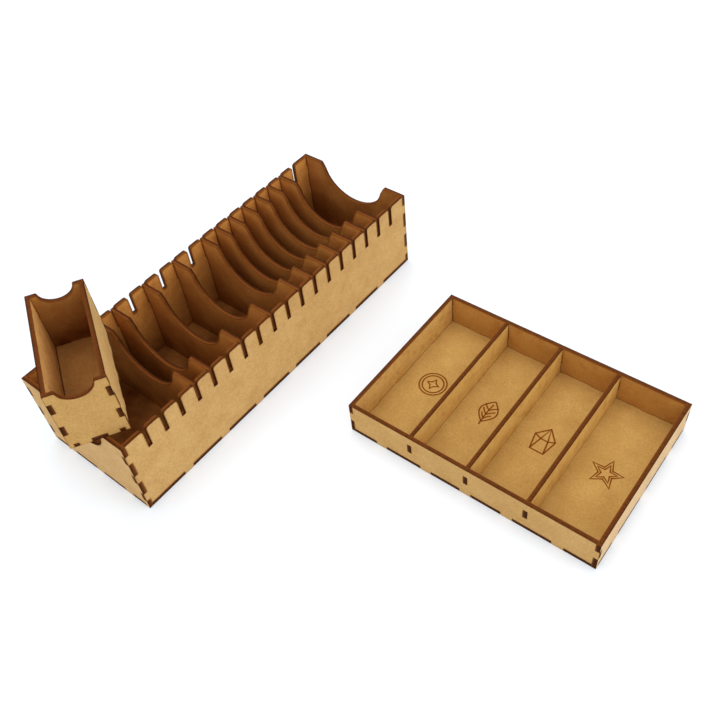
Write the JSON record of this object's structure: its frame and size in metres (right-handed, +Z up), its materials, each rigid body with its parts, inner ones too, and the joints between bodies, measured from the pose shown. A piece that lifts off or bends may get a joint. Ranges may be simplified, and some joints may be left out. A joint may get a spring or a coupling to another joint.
{
  "type": "board game insert",
  "caption": "Laser-cut fibreboard insert: a comb-walled card tray with lift-out dividers, a small dice box on its rim and a shallow token tray with compartments.",
  "frame": {"origin": "middle of the card tray's underside", "axes": "+X along the card tray's length from its front wall to its back wall, +Y from its near wall to its far wall, +Z up"},
  "size_m": [0.3074, 0.3617, 0.1171],
  "materials": {
    "board": "raw fibreboard, laser-cut, matt, burnt brown along the cut edges",
    "divider_board": "raw fibreboard, laser-cut, smoked brown, burnt along the cut edges"
  },
  "bodies": {
    "card_tray": {"card_tray_floor": "board", "card_tray_near_wall": "board", "card_tray_far_wall": "board", "card_tray_front_wall": "board", "card_tray_back_wall": "board"},
    "divider_04": {"divider_04": "divider_board"},
    "divider_05": {"divider_05": "divider_board"},
    "divider_07": {"divider_07": "divider_board"},
    "divider_09": {"divider_09": "divider_board"},
    "divider_11": {"divider_11": "divider_board"},
    "divider_12": {"divider_12": "divider_board"},
    "divider_13": {"divider_13": "divider_board"},
    "divider_14": {"divider_14": "divider_board"},
    "divider_15": {"divider_15": "divider_board"},
    "divider_16": {"divider_16": "divider_board"},
    "divider_17": {"divider_17": "divider_board"},
    "dice_box": {"dice_box_floor": "board", "dice_box_left_wall": "board", "dice_box_right_wall": "board", "dice_box_front_wall": "board", "dice_box_back_wall": "board"},
    "token_tray": {"token_tray_floor": "board", "token_tray_front_wall": "board", "token_tray_back_wall": "board", "token_tray_left_wall": "board", "token_tray_right_wall": "board", "token_tray_divider_1": "board", "token_tray_divider_2": "board", "token_tray_divider_3": "board"}
  },
  "joints": [
    {"name": "divider_04_lift", "type": "slide", "parent": "card_tray", "child": "divider_04", "axis": [0, 0, 1], "range_m": [0, 0.07]},
    {"name": "divider_05_lift", "type": "slide", "parent": "card_tray", "child": "divider_05", "axis": [0, 0, 1], "range_m": [0, 0.07]},
    {"name": "divider_07_lift", "type": "slide", "parent": "card_tray", "child": "divider_07", "axis": [0, 0, 1], "range_m": [0, 0.07]},
    {"name": "divider_09_lift", "type": "slide", "parent": "card_tray", "child": "divider_09", "axis": [0, 0, 1], "range_m": [0, 0.07]},
    {"name": "divider_11_lift", "type": "slide", "parent": "card_tray", "child": "divider_11", "axis": [0, 0, 1], "range_m": [0, 0.07]},
    {"name": "divider_12_lift", "type": "slide", "parent": "card_tray", "child": "divider_12", "axis": [0, 0, 1], "range_m": [0, 0.07]},
    {"name": "divider_13_lift", "type": "slide", "parent": "card_tray", "child": "divider_13", "axis": [0, 0, 1], "range_m": [0, 0.07]},
    {"name": "divider_14_lift", "type": "slide", "parent": "card_tray", "child": "divider_14", "axis": [0, 0, 1], "range_m": [0, 0.07]},
    {"name": "divider_15_lift", "type": "slide", "parent": "card_tray", "child": "divider_15", "axis": [0, 0, 1], "range_m": [0, 0.07]},
    {"name": "divider_16_lift", "type": "slide", "parent": "card_tray", "child": "divider_16", "axis": [0, 0, 1], "range_m": [0, 0.07]},
    {"name": "divider_17_lift", "type": "slide", "parent": "card_tray", "child": "divider_17", "axis": [0, 0, 1], "range_m": [0, 0.07]},
    {"name": "dice_box_lift", "type": "slide", "parent": "card_tray", "child": "dice_box", "axis": [0, 0, 1], "range_m": [0, 0.12]},
    {"name": "token_tray_lift", "type": "slide", "parent": "card_tray", "child": "token_tray", "axis": [0, 0, 1], "range_m": [0, 0.12]}
  ]
}
